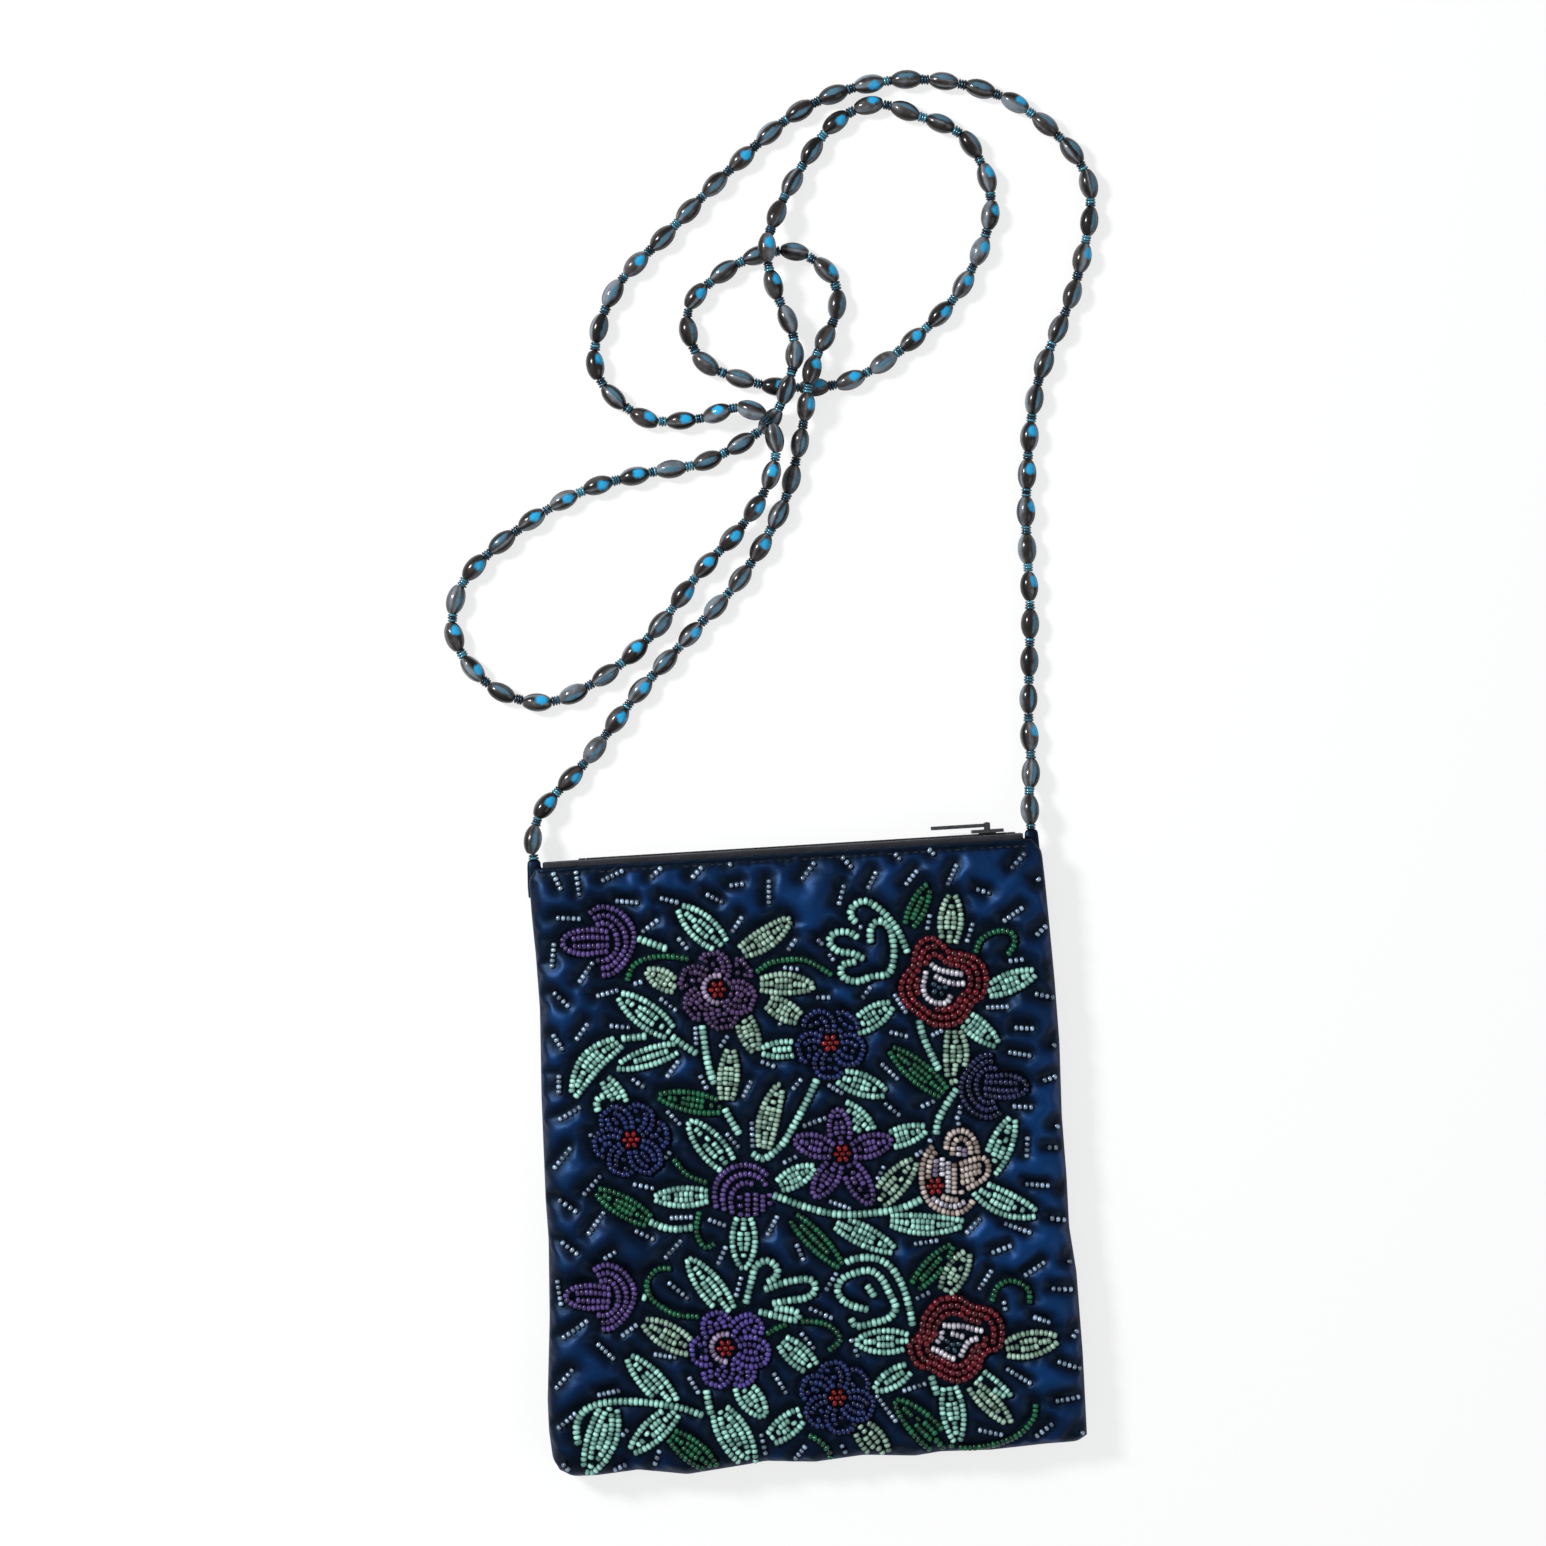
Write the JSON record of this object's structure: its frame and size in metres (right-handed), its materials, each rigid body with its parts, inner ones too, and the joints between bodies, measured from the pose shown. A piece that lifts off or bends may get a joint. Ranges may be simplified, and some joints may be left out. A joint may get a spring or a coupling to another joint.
{
  "type": "beaded evening purse",
  "caption": "Flat satin evening purse with a top zip, flowers and leaves in glass beads on its front, and a long strap of strung beads.",
  "frame": {"origin": "under the middle of the bag, on the surface that it lies on, the strap left out", "axes": "+X to the right as one looks at the front, +Y towards the mouth, +Z out of the front"},
  "size_m": [0.1935, 0.3955, 0.0151],
  "materials": {
    "navy_satin": "satin",
    "black_satin": "satin",
    "wadding": "matte",
    "lining": "satin",
    "black_tape": "matte",
    "black_teeth": "gloss",
    "dark_metal": "satin",
    "strap_beads": "gloss",
    "purple_beads": "gloss",
    "red_beads": "gloss",
    "navy_beads": "gloss",
    "cream_beads": "gloss",
    "mint_beads": "gloss",
    "green_beads": "gloss"
  },
  "bodies": {
    "back": {"back_satin": "navy_satin", "back_padding": "wadding", "back_lining": "lining", "bottom_seam": "black_satin", "back_zip_tape": "black_tape", "back_zip_teeth": "black_teeth", "back_top_stop": "dark_metal", "bottom_stop": "dark_metal", "left_gusset_back": "black_satin", "right_gusset_back": "black_satin", "left_strap_anchor": "black_satin", "right_strap_anchor": "black_satin", "strap": "strap_beads"},
    "front": {"front_satin": "navy_satin", "front_padding": "wadding", "front_lining": "lining", "front_zip_tape": "black_tape", "front_zip_teeth": "black_teeth", "front_top_stop": "dark_metal", "left_gusset_front": "black_satin", "right_gusset_front": "black_satin", "upper_purple_tulip": "purple_beads", "purple_rosette": "purple_beads", "upper_red_flower": "red_beads", "centre_navy_flower": "navy_beads", "thistle": "navy_beads", "left_navy_flower": "navy_beads", "purple_star": "purple_beads", "purple_bud": "purple_beads", "rose": "cream_beads", "lower_purple_tulip": "purple_beads", "violet_flower": "purple_beads", "lower_red_flower": "red_beads", "lower_navy_flower": "navy_beads", "mint_leaf_01": "mint_beads", "mint_leaf_02": "mint_beads", "mint_leaf_03": "mint_beads", "mint_leaf_04": "mint_beads", "mint_leaf_05": "mint_beads", "mint_leaf_06": "mint_beads", "mint_leaf_07": "mint_beads", "mint_leaf_08": "mint_beads", "mint_leaf_09": "mint_beads", "mint_leaf_10": "mint_beads", "mint_leaf_11": "mint_beads", "mint_leaf_12": "mint_beads", "mint_leaf_13": "mint_beads", "mint_leaf_14": "mint_beads", "green_leaf_01": "green_beads", "green_leaf_02": "green_beads", "green_leaf_03": "green_beads", "green_leaf_04": "green_beads", "rosette_stem": "mint_beads", "centre_stem": "mint_beads", "rose_stem": "mint_beads", "corner_stem": "mint_beads"},
    "slider": {"zip_slider": "dark_metal"},
    "pull": {"zip_pull": "dark_metal"}
  },
  "joints": [
    {"name": "mouth_opening", "type": "hinge", "parent": "back", "child": "front", "pos_m": [0, -0.09, 0.0081], "axis": [1, 0, 0], "range_deg": [0, 8]},
    {"name": "zip_slide", "type": "slide", "parent": "back", "child": "slider", "axis": [1, 0, 0], "range_m": [-0.108, 0]},
    {"name": "pull_swing", "type": "hinge", "parent": "slider", "child": "pull", "pos_m": [0.0585, 0.0891, 0.0066], "axis": [0, 0, -1], "range_deg": [0, 110]}
  ]
}
